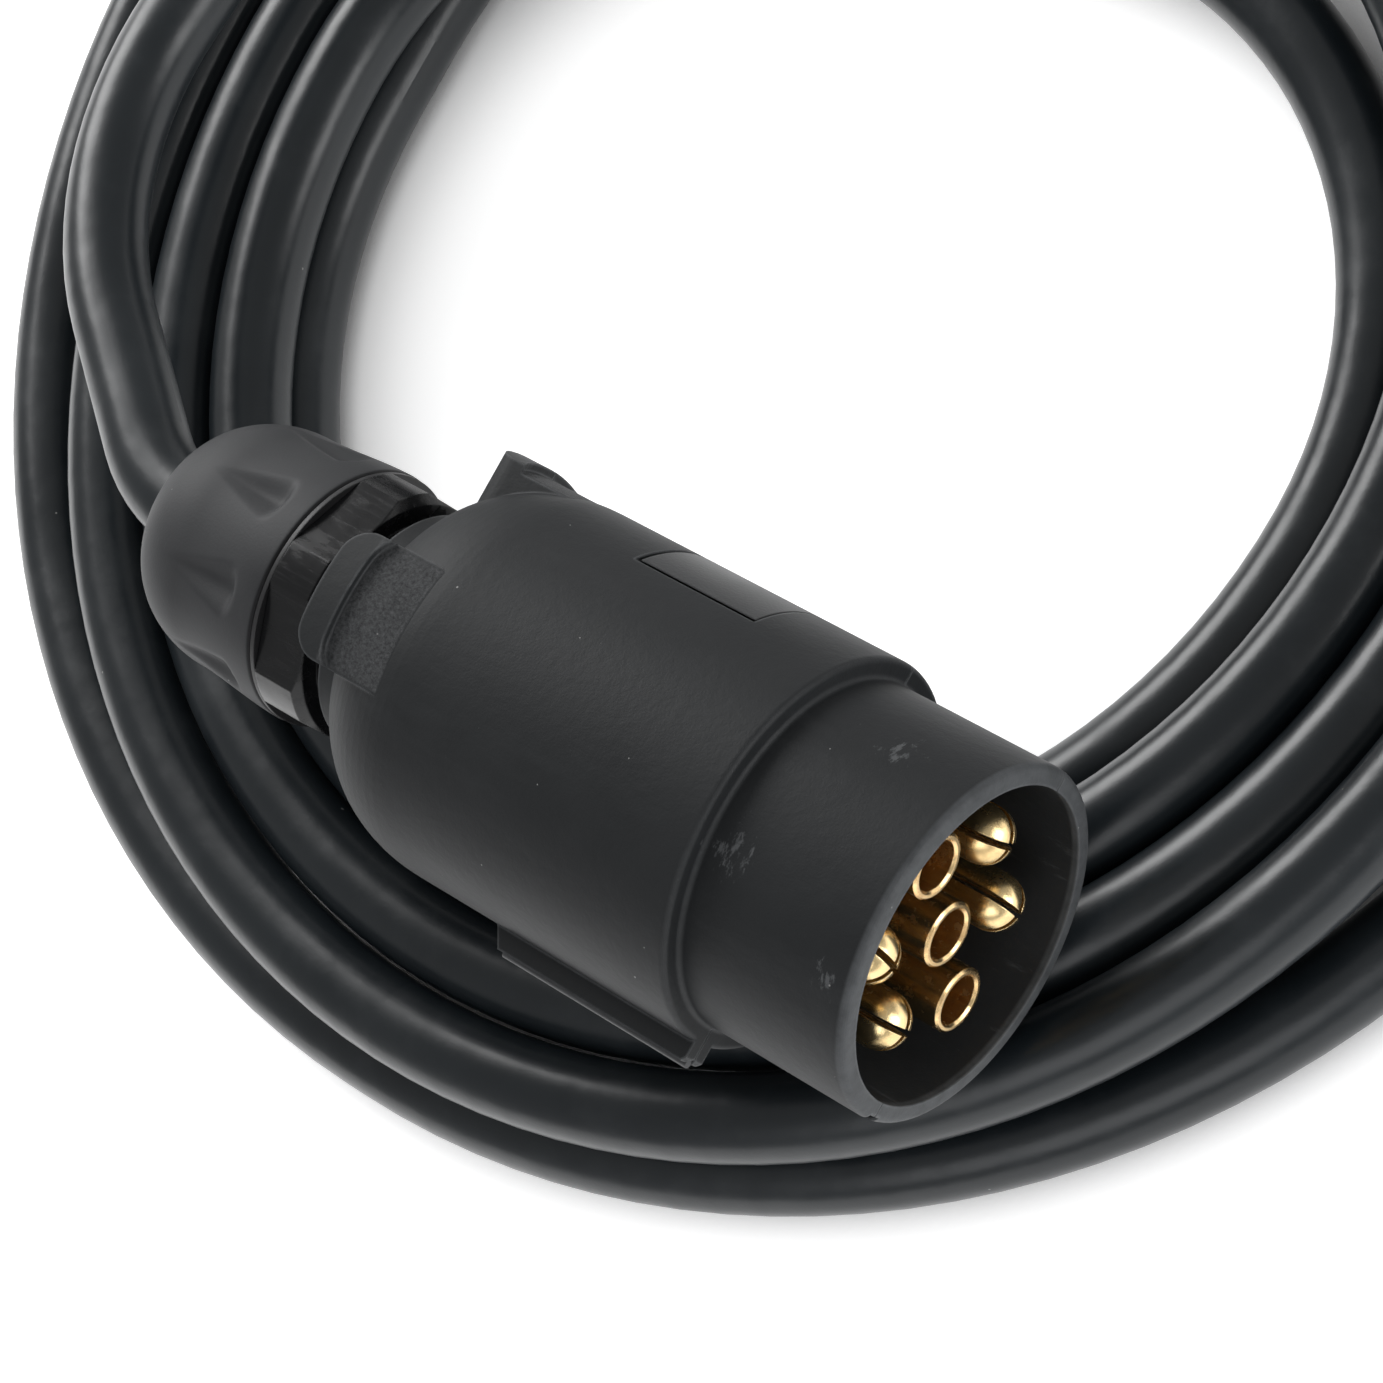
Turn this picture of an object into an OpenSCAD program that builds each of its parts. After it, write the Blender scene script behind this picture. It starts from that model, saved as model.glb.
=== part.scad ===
// Seven-pole trailer plug with a hinged clamshell body, a clamping cable gland and a coiled cable.
// Frame: origin at the centre of the shroud's mouth, +X out of the mouth, +Z out of the cover,
// +Y towards the latch. The seam between the two shell halves lies in the plane Z = 0.

/* [Shell] */
// Outside diameter of the shroud, which enters the socket
shroud_d = 37.5; // [37:0.1:38]
// Inside diameter of the shroud
shroud_bore_d = 33.4; // [32.8:0.1:34]
// Length of the shroud, from the mouth to the step
shroud_len = 19.8; // [18:0.1:21]
// Outside diameter of the body behind the step
body_d = 41.8; // [41:0.1:43]
// Distance from the mouth to the start of the rear dome
dome_start = 57; // [56.5:0.5:58]
// Length over which the dome would close to its core
dome_len = 14.4; // [14:0.1:14.8]
// Outside diameter of the neck behind the dome
neck_d = 26.2; // [25.8:0.1:26.6]
// Length of the shell from the mouth to the rear of the neck
shell_len = 73.6; // [73.2:0.1:74]
// Radius of the rounded edges of the rim and the step
edge_r = 0.9; // [0.6:0.1:1.2]
// Gap between the two shell halves
seam_gap = 0.1; // [0.05:0.05:0.2]

/* [Finger grips] */
// Width of each grip
grip_w = 14; // [10:0.5:16]
// Distance from the axis to the top of the raised rear rim
grip_rim_r = 21.6; // [21.3:0.1:22.2]
// Distance from the axis to the textured floor
grip_floor_r = 20.7; // [20.3:0.1:20.8]
// Distance from the mouth to the front of the grip
grip_front = 54.8; // [54:0.1:56]
// Distance from the mouth to the flat rear face of the grip
grip_rear = 70.7; // [70.2:0.1:71.2]
// Width of the raised rim at the rear
grip_rim_w = 3.4; // [2.8:0.1:4]

/* [Hinge and latch] */
// Distance from the plug's axis to the hinge axis
hinge_y = 23; // [22.8:0.1:23.5]
// Distance from the mouth to the front of the hinge
hinge_front = 19.8; // [19.8:0.1:22]
// Distance from the mouth to the rear of the hinge
hinge_rear = 46; // [42:0.5:48]
// Thickness of each hinge flange
flange_t = 1.7; // [1.4:0.1:2.2]
// Radius of the flexible hinge bead
hinge_bead_r = 0.5; // [0.4:0.05:0.6]
// Distance from the axis to the flat inner face of the latch window
latch_y = 16.9; // [16.7:0.1:17.1]
// Distance from the mouth to the front of the latch window
latch_front = 30.6; // [30.2:0.1:32]
// Distance from the mouth to the rear of the latch window
latch_rear = 46; // [44:0.5:46.5]
// Height of the latch tongue above the seam
latch_h = 11.9; // [10:0.1:12]

/* [Contacts] */
// Radius of the circle that six of the contacts stand on
contact_pitch_r = 10; // [9.9:0.05:10.1]
// Diameter of the solid split pins
pin_d = 6; // [5.9:0.05:6.1]
// Outside diameter of the hollow contacts
tube_d = 6.9; // [6.8:0.05:7]
// Bore of the hollow contacts
tube_bore_d = 5.2; // [5:0.05:5.4]
// Distance from the mouth to the tips of the pins
pin_tip = 1.5; // [1.5:0.1:4]
// Distance from the mouth to the ends of the hollow contacts
tube_tip = 2.5; // [2:0.1:5]
// Width of the slits in the pins
slit_w = 0.7; // [0.5:0.05:0.9]
// Distance from the mouth to the face of the contact carrier
carrier_face = 21.8; // [21.4:0.1:22.4]
// Distance from the mouth to the rear of the terminal barrels
barrel_end = 46; // [44:0.5:47]

/* [Gland] */
// Width across the flats of the gland's hexagon
hex_af = 26.8; // [26:0.1:27.5]
// Distance from the mouth to the front of the hexagon
hex_front = 75.6; // [75.2:0.1:76]
// Distance from the mouth to the rear of the hexagon
hex_rear = 81.7; // [81.4:0.1:82]
// Diameter of the gland's rear thread
thread_d = 24.6; // [24.4:0.1:24.8]
// Diameter of the nut at its front edge
nut_d = 28.8; // [28.4:0.1:29.2]
// Distance from the mouth to the rear of the nut
nut_rear = 105; // [104.8:0.1:105.4]
// Number of flutes around the nut
flute_count = 8; // [6:1:9]
// Rear opening of the nut
nut_bore_d = 14.6; // [14.2:0.1:15]

/* [Cable] */
// Outside diameter of the cable
cable_d = 9.5; // [9.2:0.1:9.5]
// Thickness of the cable's sheath
sheath_t = 1; // [0.8:0.05:1]
// Diameter of one insulated core
core_d = 2.2; // [1.8:0.1:2.2]
// Diameter of the bare strands of one core
strand_d = 1.9; // [1.2:0.1:1.9]
// Distance from the mouth to where the cable starts to bend behind the nut
bend_start = 104.5; // [104.5:0.1:106]
// Radius of the first bend behind the nut
bend_r = 20; // [20:1:24]
// Straight run between the first two bends
lead_run = 17; // [16:0.5:20]
// Radius of the bend that joins the coil
join_r = 44; // [44:1:48]
// Straight run across the top of the coil
top_run = 13; // [12:0.5:14]
// Radius of the first quarter turn, which lies on top of the coil
lead_r = 81.8; // [81.5:0.1:82.5]
// Radius of the next quarter turn, down the side of the coil
side_r = 89; // [88.5:0.1:89.5]
// Radius of the largest half turn of the upper layer
upper_r = 91.5; // [91:0.5:93]
// Change of radius from one half turn to the next in the upper layer
upper_step = 4.9; // [4.9:0.05:5]
// How much closer each turn of the upper layer runs on the far side than a round turn would
side_pull = 5; // [4.8:0.1:5.2]
// Radius of the first half turn of the lower layer
lower_r = 76.6; // [76.5:0.1:78]
// Change of radius from one half turn to the next in the lower layer
lower_step = 9.3; // [9.2:0.1:9.6]
// Height from one layer of the coil to the next
layer_h = 9.62; // [9.62:0.02:9.9]
// Depth of the coil's top turn under the plug's axis
coil_drop = 16.9; // [16.9:0.1:18]
// Shift between the centres of the two layers
layer_shift = 8; // [7.5:0.5:9]
// Straight run in the coil's outermost turn
outer_run = 3; // [2:0.5:4]

/* [Hidden] */
$fn = 64;
// Radial running clearance
run_fit = 0.05;
// Overrun of a cutting shape past the face that it cuts
over = 1;
body_r = body_d / 2;
shroud_r = shroud_d / 2;
dome_core_r = 10;
// The ends of the groove that holds the contact carrier
groove_front = carrier_face + 2.2;
groove_rear = groove_front + 5.2;
groove_r = 18;
// Chamber behind the carrier
chamber_r = 18.4;
rib_r = 16.9;
// The groove that holds the gland's front flange
collar_front = 66.4;
collar_rear = 69;
collar_r = 13.4;
gland_neck_r = 11.4;
// Radius to which the hexagon's corners are turned down
corner_r = 14.35;
// The root of the latch tongue, which it flexes about
latch_root_y = 18.5;
latch_root_z = -5;
latch_root_r = 1.4;
sheath_front = 65.4;
core_pitch_r = 2.3;
// Step at the root of each pin, in radius
pin_shoulder = 0.4;
// Distance from the mouth to the ends of the slits in the pins
slit_end = 12;
// Angles of the six outer contacts, counted in sixths of a turn from +Y towards +Z
PIN_SPOTS = [0, 2, 3, 5];
TUBE_SPOTS = [1, 4];

// ---- Shared shapes ----

// A solid of revolution about the X axis, from a profile of [radius, x] points
module revolve_x(points) {
  rotate([0, 90, 0])
    rotate_extrude()
      polygon(points);
}

// A cylinder along X between two distances behind the mouth
module rod_x(r, front, rear) {
  translate([-rear, 0, 0])
    rotate([0, 90, 0])
      cylinder(h = rear - front, r = r);
}

// A box between two distances behind the mouth
module box_x(front, rear, y0, y1, z0, z1) {
  translate([-rear, y0, z0])
    cube([rear - front, y1 - y0, z1 - z0]);
}

// The y and z of one of the six outer contacts
function spot(i) = [0, contact_pitch_r * cos(60 * i), contact_pitch_r * sin(60 * i)];

// Points of an elliptical arc in [radius, x], from the cylinder towards the rear
function dome_arc(core, height, start, length, sweep, steps) =
  [for (i = [0 : steps]) let (a = sweep * i / steps) [core + height * cos(a), -start - length * sin(a)]];

// ---- Shell ----

// Outside of the closed shell
module shell_outside() {
  step_r = body_r - shroud_r;
  dome_sweep = acos((neck_d / 2 - dome_core_r) / (body_r - dome_core_r));
  rim = [for (a = [90 : -15 : 0]) [shroud_r - edge_r + edge_r * cos(a), -edge_r + edge_r * sin(a)]];
  root = [for (a = [180 : 15 : 270])
    [shroud_r + 0.5 + 0.5 * cos(a), -shroud_len + 0.5 + 0.5 * sin(a)]];
  edge = [for (a = [90 : -15 : 0]) [body_r - 0.6 + 0.6 * cos(a), -shroud_len - 0.6 + 0.6 * sin(a)]];
  dome = dome_arc(dome_core_r, body_r - dome_core_r, dome_start, dome_len, dome_sweep, 16);
  revolve_x(concat([[0, 0]], rim, root, edge, dome, [[neck_d / 2, -shell_len], [0, -shell_len]]));
}

// Space inside the closed shell
module shell_inside() {
  front = [[0, over], [shroud_bore_d / 2, over], [shroud_bore_d / 2, -groove_front],
           [groove_r, -groove_front], [groove_r, -groove_rear], [rib_r, -groove_rear],
           [rib_r, -groove_rear - 1.8], [chamber_r, -groove_rear - 1.8]];
  dome = dome_arc(8, chamber_r - 8, dome_start, 10.7, 59, 10);
  rear = [[collar_r, -collar_front], [collar_r, -collar_rear], [gland_neck_r + 0.1, -collar_rear],
          [gland_neck_r + 0.1, -shell_len - over], [0, -shell_len - over]];
  revolve_x(concat(front, dome, rear));
}

// Plan of a grip, with rounded rear corners
module grip_plan(half_w, front, rear, corner) {
  hull() {
    translate([-front - 1, -half_w])
      square([1, 2 * half_w]);
    for (side = [-1, 1])
      translate([-rear + corner, side * (half_w - corner)])
        circle(r = corner, $fn = 32);
  }
}

// One finger grip on the +Z side: a pad that carries the body's round on over the dome
module grip() {
  half_w = grip_w / 2;
  difference() {
    intersection() {
      rod_x(grip_rim_r, grip_front, grip_rear);
      linear_extrude(height = grip_rim_r)
        grip_plan(half_w, grip_front, grip_rear, 3);
    }
    difference() {
      linear_extrude(height = grip_rim_r + over)
        grip_plan(half_w + over, grip_front - 3, grip_rear - grip_rim_w, 3.6);
      rod_x(grip_floor_r, grip_front - 4, grip_rear);
    }
  }
}

// Both hinge flanges as one bar; the seam splits it
module hinge_flanges() {
  difference() {
    translate([0, 0, -flange_t])
      linear_extrude(height = 2 * flange_t)
        polygon([[-hinge_front, -body_r + 2], [-hinge_front, -hinge_y + 0.5], [-hinge_front - 0.5, -hinge_y],
                 [-hinge_rear + 1.6, -hinge_y], [-hinge_rear, -body_r + 0.3], [-hinge_rear, -body_r + 2]]);
    translate([0, -hinge_y, 0])
      rod_x(hinge_bead_r + 0.1, hinge_front - over, hinge_rear + over);
  }
}

// Thick wall behind the latch
module latch_wall() {
  intersection() {
    rod_x(chamber_r + 0.5, groove_rear + 0.1, latch_rear + 1.5);
    box_x(groove_rear + 0.1, latch_rear + 1.5, 15.2, body_r, -9, 13.5);
  }
}

// Opening for the latch tongue, above and below the seam
module latch_window() {
  box_x(latch_front, latch_rear, latch_y, body_r + over, latch_root_z - 0.5, latch_h + 0.5);
  translate([0, latch_root_y, latch_root_z])
    rod_x(latch_root_r + 0.1, latch_front, latch_rear);
}

// The whole shell before it is cut at the seam
module closed_shell() {
  difference() {
    union() {
      difference() {
        union() {
          shell_outside();
          grip();
          rotate([180, 0, 0])
            grip();
          rotate([-90, 0, 0])
            grip();
          hinge_flanges();
        }
        shell_inside();
      }
      latch_wall();
    }
    latch_window();
    // Small gap in the rim on the hinge side, where the two halves run out
    translate([-2.6, -shroud_r, 0])
      rotate([0, 0, 25])
        cube([5, 3, 1.8], center = true);
  }
}

module shell_base() {
  color("#2b2d30")
    intersection() {
      closed_shell();
      box_x(-over, shell_len + over, -30, 30, -30, -seam_gap / 2);
    }
}

module shell_cover() {
  color("#2e3033")
    intersection() {
      closed_shell();
      box_x(-over, shell_len + over, -30, 30, seam_gap / 2, 30);
    }
}

module living_hinge() {
  color("#3a3c40")
    translate([0, -hinge_y, 0])
      rod_x(hinge_bead_r, hinge_front + 0.4, hinge_rear - 1.6);
}

module latch_tongue() {
  gap = 0.2;
  color("#26282b")
    translate([-latch_rear + 3 * gap, 0, 0])
      rotate([90, 0, 90])
        linear_extrude(height = latch_rear - latch_front - 4 * gap) {
          intersection() {
            circle(r = body_r);
            translate([latch_y + gap, latch_root_z])
              square([6, latch_h - latch_root_z]);
          }
          translate([latch_root_y, latch_root_z])
            circle(r = latch_root_r);
        }
}

// ---- Contacts and their carrier ----

// Holes for the stems of all seven contacts, wider than them by the given amount
module contact_holes(front, rear, extra) {
  for (i = PIN_SPOTS)
    translate(spot(i))
      rod_x(pin_d / 2 - pin_shoulder + extra, front, rear);
  for (i = TUBE_SPOTS)
    translate(spot(i))
      rod_x(tube_d / 2 + extra, front, rear);
  rod_x(tube_d / 2 + extra, front, rear);
}

module contact_carrier() {
  split = groove_front + 2.3;
  color("#1c1d1f")
    difference() {
      union() {
        rod_x(shroud_bore_d / 2 - 0.1, carrier_face, groove_front);
        rod_x(groove_r - 0.1, groove_front + 0.05, split);
      }
      contact_holes(carrier_face - over, split + over, run_fit);
      contact_holes(split - 1.4, split + over, 1);
    }
}

module carrier_plate() {
  split = groove_front + 2.35;
  color("#232427")
    difference() {
      rod_x(groove_r - 0.1, split, groove_rear - 0.1);
      contact_holes(split - over, groove_rear + over, run_fit);
    }
}

// Rear of a contact: collar in the carrier and barrel with a terminal screw hole
module contact_rear(stem_r, screw_angle) {
  split = groove_front + 2.3;
  barrel_r = 3.3;
  difference() {
    union() {
      rod_x(stem_r, carrier_face - 0.1, groove_rear);
      rod_x(stem_r + 0.9, split - 1.3, split - 0.05);
      rod_x(barrel_r, groove_rear, barrel_end);
    }
    rod_x(1.7, barrel_end - 12, barrel_end + over);
    rotate([screw_angle, 0, 0])
      translate([-barrel_end + 5.5, 0, 0])
        rotate([-90, 0, 0])
          cylinder(h = barrel_r + over, r = 1.55);
  }
}

// A solid pin with a domed tip and two crossed slits
module pin_contact(i, slit_angle) {
  r = pin_d / 2;
  color("#c9a24a")
    translate(spot(i)) {
      contact_rear(r - pin_shoulder, 60 * i);
      difference() {
        union() {
          rod_x(r, pin_tip + r, carrier_face - 0.1);
          translate([-pin_tip - r, 0, 0])
            sphere(r = r);
        }
        rotate([slit_angle, 0, 0])
          for (turn = [0, 90])
            rotate([turn, 0, 0])
              box_x(0, slit_end, -slit_w / 2, slit_w / 2, -r - over, r + over);
      }
    }
}

// A hollow contact with a chamfered rim
module tube_contact(place, screw_angle) {
  r = tube_d / 2;
  bore_r = tube_bore_d / 2;
  color("#c98f4e")
    translate(place) {
      contact_rear(r, screw_angle);
      revolve_x([[bore_r + 0.25, -tube_tip], [r - 0.25, -tube_tip], [r, -tube_tip - 0.25],
                 [r, -carrier_face + 0.1], [0, -carrier_face + 0.1], [0, -carrier_face + 1.8],
                 [bore_r, -carrier_face + 1.8], [bore_r, -tube_tip - 0.25]]);
    }
}

module terminal_screw() {
  difference() {
    cylinder(h = 3.1, r = 1.5);
    translate([-2, -0.25, 2.4])
      cube([4, 0.5, over]);
  }
}

module terminal_screws() {
  color("#9a9da1")
    translate([-barrel_end + 5.5, 0, 0]) {
      for (i = [0 : 5])
        rotate([60 * i, 0, 0])
          translate([0, contact_pitch_r + 1, 0])
            rotate([-90, 0, 0])
              terminal_screw();
      rotate([90, 0, 0])
        translate([0, 1, 0])
          rotate([-90, 0, 0])
            terminal_screw();
    }
}

// ---- Gland ----

module gland_body() {
  thread_r = thread_d / 2;
  thread_rear = hex_rear + 10;
  seat = hex_rear + 2;
  // Ridges of the thread, as rings
  ridges = [for (i = [0 : 5]) for (p = [[0, 0], [-0.5, -0.5], [0, -1]])
    [thread_r + p[0], -hex_rear - 1.2 - 1.5 * i + p[1]]];
  color("#141517")
    union() {
      revolve_x(concat(
        [[5.2, -collar_front - 0.1], [collar_r - 0.1, -collar_front - 0.1],
         [collar_r - 0.1, -collar_rear + 0.1], [gland_neck_r, -collar_rear + 0.1],
         [gland_neck_r, -hex_front - 0.5], [gland_neck_r, -hex_rear], [thread_r, -hex_rear]],
        ridges,
        [[thread_r - 0.4, -thread_rear], [9.5, -thread_rear], [9.5, -seat], [5.2, -seat]]));
      difference() {
        intersection() {
          translate([-hex_rear, 0, 0])
            rotate([0, 90, 0])
              cylinder(h = hex_rear - hex_front, r = hex_af / sqrt(3), $fn = 6);
          revolve_x([[0, over - hex_front], [corner_r - 2.2, over - hex_front], [corner_r, -hex_front - 0.8],
                     [corner_r, -hex_rear - over], [0, -hex_rear - over]]);
        }
        rod_x(gland_neck_r - 0.5, hex_front - over, hex_rear + over);
      }
    }
}

module slip_washer() {
  color("#4a4d52")
    difference() {
      rod_x(nut_d / 2 - 0.1, hex_rear + 0.05, hex_rear + 0.55);
      rod_x(thread_d / 2 + 0.08, hex_rear - over, hex_rear + 2);
    }
}

// Outside of the nut: a skirt, a slight taper and a rounded rear end
module nut_outside() {
  front = hex_rear + 0.6;
  r = nut_d / 2;
  dome = dome_arc(5.4, r - 0.7 - 5.4, nut_rear - 10.4, 10.6, 76, 14);
  revolve_x(concat([[0, -front], [r - 0.3, -front], [r, -front - 0.3], [r - 0.1, -front - 1.6]],
                   dome, [[0, -nut_rear]]));
}

// One flute: deep and square towards the skirt, running out to a point at the rear
module flute() {
  front = hex_rear + 4;
  translate([-front, nut_d / 2 + 2.1, 0])
    rotate([0, -90, 9])
      cylinder(h = 15, r1 = 3.6, r2 = 1.1);
}

module gland_nut() {
  thread_r = thread_d / 2 + 0.06;
  cone_front = hex_rear + 10.6;
  cone_rear = nut_rear - 3.2;
  color("#303236")
    difference() {
      nut_outside();
      revolve_x([[0, -hex_rear], [thread_r, -hex_rear], [thread_r, -cone_front], [11, -cone_front],
                 [8.2, -cone_rear], [nut_bore_d / 2, -cone_rear - 0.6], [nut_bore_d / 2, -nut_rear - over],
                 [0, -nut_rear - over]]);
      for (i = [0 : flute_count - 1])
        rotate([360 / flute_count * (i + 0.5), 0, 0])
          flute();
    }
}

// Ring of claws that the nut presses onto the cable
module clamp_ring() {
  front = hex_rear + 10.7;
  rear = nut_rear - 3.9;
  color("#8d9196")
    difference() {
      revolve_x([[5.1, -front], [10.4, -front], [10.4, -front - 1.2], [7.7, -rear], [5.1, -rear]]);
      for (i = [0 : 3])
        rotate([45 * i, 0, 0])
          box_x(front + 1.2, rear + over, -0.5, 0.5, -15, 15);
    }
}

module cable_seal() {
  front = hex_rear + 2.1;
  rear = hex_rear + 10.6;
  bore_r = cable_d / 2 + run_fit;
  color("#3d3f41")
    revolve_x([[bore_r, -front], [9.4, -front], [9.4, -front - 3], [8.8, -front - 3.6],
               [8.8, -rear + 3.6], [9.4, -rear + 3], [9.4, -rear], [bore_r, -rear]]);
}

// ---- Cable ----

// Height angles: a turn that is tilted about its own first heading drops by its width times their sine
lead_span = 0.2 * bend_r + 0.6 * lead_run + 0.8 * join_r + top_run + lead_r;
lead_tilt = asin(coil_drop / lead_span);
side_tilt = asin(layer_h / (side_r + upper_r));
inner_r = upper_r - 5 * upper_step;
inner_tilt = asin(layer_h / (2 * inner_r));

// A half turn of the upper layer on the far side, drawn in by two quarters and a run between them
function far_half(j, tilt) =
  let (pull = side_pull * (j + 1) / 2, r = upper_r - upper_step * j - pull)
    [[90, r, tilt, 0], [90, r, 0, 2 * pull]];

// Every piece of the coil as [degrees of turn, radius, tilt before it, straight run before it]
COIL = concat(
  [[90, lead_r, 0, top_run], [90, side_r, lead_tilt + side_tilt, 0]],
  [[90, upper_r, 0, 0], [90, upper_r, side_tilt, 0]],
  far_half(1, 0), [[180, upper_r - 2 * upper_step, 0, 0]],
  far_half(3, 0), [[180, upper_r - 4 * upper_step, 0, 0]],
  far_half(5, inner_tilt), [[180, inner_r, inner_tilt, 0]],
  [for (j = [0 : 2]) [180, lower_r + lower_step * j, 0, j == 0 ? layer_shift : 0]],
  [for (straight = [0, outer_run]) [90, lower_r + lower_step * 3, 0, straight]],
  [[90, lower_r + lower_step * 3.5, 0, 0]]);

// Cross-section of the sheath; the angle keeps its start in line from one piece to the next
module sheath_section(angle = 0) {
  rotate(angle)
    difference() {
      circle(r = cable_d / 2, $fn = 48);
      circle(r = cable_d / 2 - sheath_t, $fn = 48);
    }
}

// A bend that starts at the origin along +x and turns towards +y
module bend(r, turn) {
  translate([0, r, 0])
    rotate([0, 0, -90])
      rotate_extrude(angle = turn, $fn = 128)
        translate([r, 0])
          children();
}

// A bend cut off where its heading has turned through the angle whose cosine and sine are given
module part_bend(r, c, s) {
  far = 2 * r;
  intersection() {
    bend(r, 90)
      children();
    translate([0, r, -10])
      linear_extrude(height = 20)
        polygon([[0, 0], [-far, -far], [0, -far], [far * s, -far * c]]);
  }
}

// A straight run along +x from the origin
module run(length) {
  rotate([90, 0, 90])
    linear_extrude(height = length)
      children();
}

// Moves children to the end of such a bend
module after_part_bend(r, c, s) {
  translate([r * s, r * (1 - c), 0])
    multmatrix([[c, -s, 0, 0], [s, c, 0, 0], [0, 0, 1, 0], [0, 0, 0, 1]])
      children();
}

// Moves children to the end of a quarter or half turn
module after_bend(r, turn) {
  translate(turn == 90 ? [r, r, 0] : [0, 2 * r, 0])
    rotate([0, 0, turn])
      children();
}

// The coil from its i-th piece on, tilted so far by the given angle; the children stand at its end
module coil_from(i, tilted) {
  if (i < len(COIL)) {
    turn = COIL[i][0];
    r = COIL[i][1];
    angle = tilted + COIL[i][2];
    straight = COIL[i][3];
    rotate([COIL[i][2], 0, 0]) {
      if (straight > 0 && $draw_sheath)
        run(straight)
          sheath_section(-angle);
      translate([straight, 0, 0]) {
        if ($draw_sheath)
          bend(r, turn)
            sheath_section(angle);
        after_bend(r, turn)
          coil_from(i + 1, angle)
            children();
      }
    }
  } else if ($draw_sheath) {
    run(free_end)
      sheath_section(-tilted);
  } else {
    children();
  }
}

// The cable from the gland to its free end, where the children stand
module cable_path(draw_sheath) {
  $draw_sheath = draw_sheath;
  translate([-bend_start, 0, 0])
    rotate([0, 180, 0])
      rotate([lead_tilt, 0, 0]) {
        if (draw_sheath)
          part_bend(bend_r, 0.8, 0.6)
            sheath_section(lead_tilt);
        after_part_bend(bend_r, 0.8, 0.6) {
          if (draw_sheath)
            run(lead_run)
              sheath_section(-lead_tilt);
          translate([lead_run, 0, 0]) {
            if (draw_sheath)
              part_bend(join_r, 0.6, 0.8)
                sheath_section(lead_tilt);
            after_part_bend(join_r, 0.6, 0.8)
              coil_from(0, lead_tilt)
                children();
          }
        }
      }
}

module cable_sheath() {
  color("#212529") {
    translate([-bend_start, 0, 0])
      run(bend_start - sheath_front)
        sheath_section();
    cable_path(true);
  }
}

// Radii and runs of the cores' bends
fan_r = 6;
fan_run = (contact_pitch_r - core_pitch_r - 0.4 * fan_r) / 0.6;
fan_tail = sheath_front - 2 - barrel_end - 0.6 - 1.2 * fan_r - 0.8 * fan_run;
splay_r = 12;
free_run = 12;
splay_run = 4;
free_end = 12;

module core_section() {
  circle(r = core_d / 2, $fn = 32);
}

// Core in the plug: out of the sheath, out to its contact's circle, and into line with its barrel
module core_in_plug() {
  run(10)
    core_section();
  translate([10, 0, 0]) {
    part_bend(fan_r, 0.8, 0.6)
      core_section();
    after_part_bend(fan_r, 0.8, 0.6) {
      run(fan_run)
        core_section();
      translate([fan_run, 0, 0])
        rotate([180, 0, 0]) {
          part_bend(fan_r, 0.8, 0.6)
            core_section();
          after_part_bend(fan_r, 0.8, 0.6)
            run(fan_tail)
              core_section();
        }
    }
  }
}

// Core at the cable's free end, splayed out of the sheath
module core_at_free_end() {
  run(free_run)
    core_section();
  translate([free_run, 0, 0]) {
    part_bend(splay_r, 0.96, 0.28)
      core_section();
    after_part_bend(splay_r, 0.96, 0.28)
      run(splay_run)
        core_section();
  }
}

// One outer core: its end in the plug, and its end at the cable's free end
module core(i) {
  rotate([60 * i, 0, 0])
    translate([-sheath_front - 8, core_pitch_r, 0])
      core_in_plug();
  cable_path(false)
    rotate([60 * i, 0, 0])
      translate([2, core_pitch_r, 0])
        core_at_free_end();
}

// The middle core, which runs straight at both ends
module middle_core() {
  translate([-sheath_front - 8, 0, 0])
    run(sheath_front + 8 - barrel_end - 0.6)
      core_section();
  cable_path(false)
    translate([2, 0, 0])
      run(free_run + 8)
        core_section();
}

// Bare copper strands of one core, along +x
module strands(length) {
  translate([0.02, 0, 0])
    rotate([0, 90, 0])
      cylinder(h = length, r = strand_d / 2);
}

// Bare copper in the terminal barrels, and out of the cores at the free end
module core_strands() {
  color("#b87245") {
    for (i = [0 : 5]) {
      rotate([60 * i, 0, 0])
        translate([-barrel_end - 0.6, contact_pitch_r, 0])
          strands(10);
      cable_path(false)
        rotate([60 * i, 0, 0])
          translate([free_run + 2, core_pitch_r, 0])
            after_part_bend(splay_r, 0.96, 0.28)
              translate([splay_run, 0, 0])
                strands(6);
    }
    translate([-barrel_end - 0.6, 0, 0])
      strands(10);
    cable_path(false)
      translate([free_run + 10, 0, 0])
        strands(6);
  }
}

module core_yellow() { color("#d9b21f") core(0); }
module core_blue() { color("#2a4fa0") core(1); }
module core_white() { color("#e4e2dc") core(2); }
module core_green() { color("#2c7a3d") core(3); }
module core_brown() { color("#6a4228") core(4); }
module core_red() { color("#a82a24") core(5); }
module core_black() { color("#1d1d1f") middle_core(); }

shell_base();
shell_cover();
living_hinge();
latch_tongue();
contact_carrier();
carrier_plate();
pin_contact(0, 12);  // pin_contact_a
pin_contact(2, -14);  // pin_contact_b
pin_contact(3, 4);  // pin_contact_c
pin_contact(5, -6);  // pin_contact_d
tube_contact([0, 0, 0], 90);  // tube_contact_a
tube_contact(spot(1), 60);  // tube_contact_b
tube_contact(spot(4), 240);  // tube_contact_c
terminal_screws();
gland_body();
slip_washer();
gland_nut();
clamp_ring();
cable_seal();
cable_sheath();
core_yellow();
core_blue();
core_white();
core_green();
core_brown();
core_red();
core_black();
core_strands();
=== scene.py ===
"""Looks of the trailer plug and its coiled cable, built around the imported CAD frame.

Lengths are in metres in the row frame: origin at the centre of the shroud's mouth, +X out of the mouth,
+Z out of the cover half and +Y towards the latch.
"""
import math
import random

import bmesh
import bpy
from mathutils import Matrix, Vector


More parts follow.
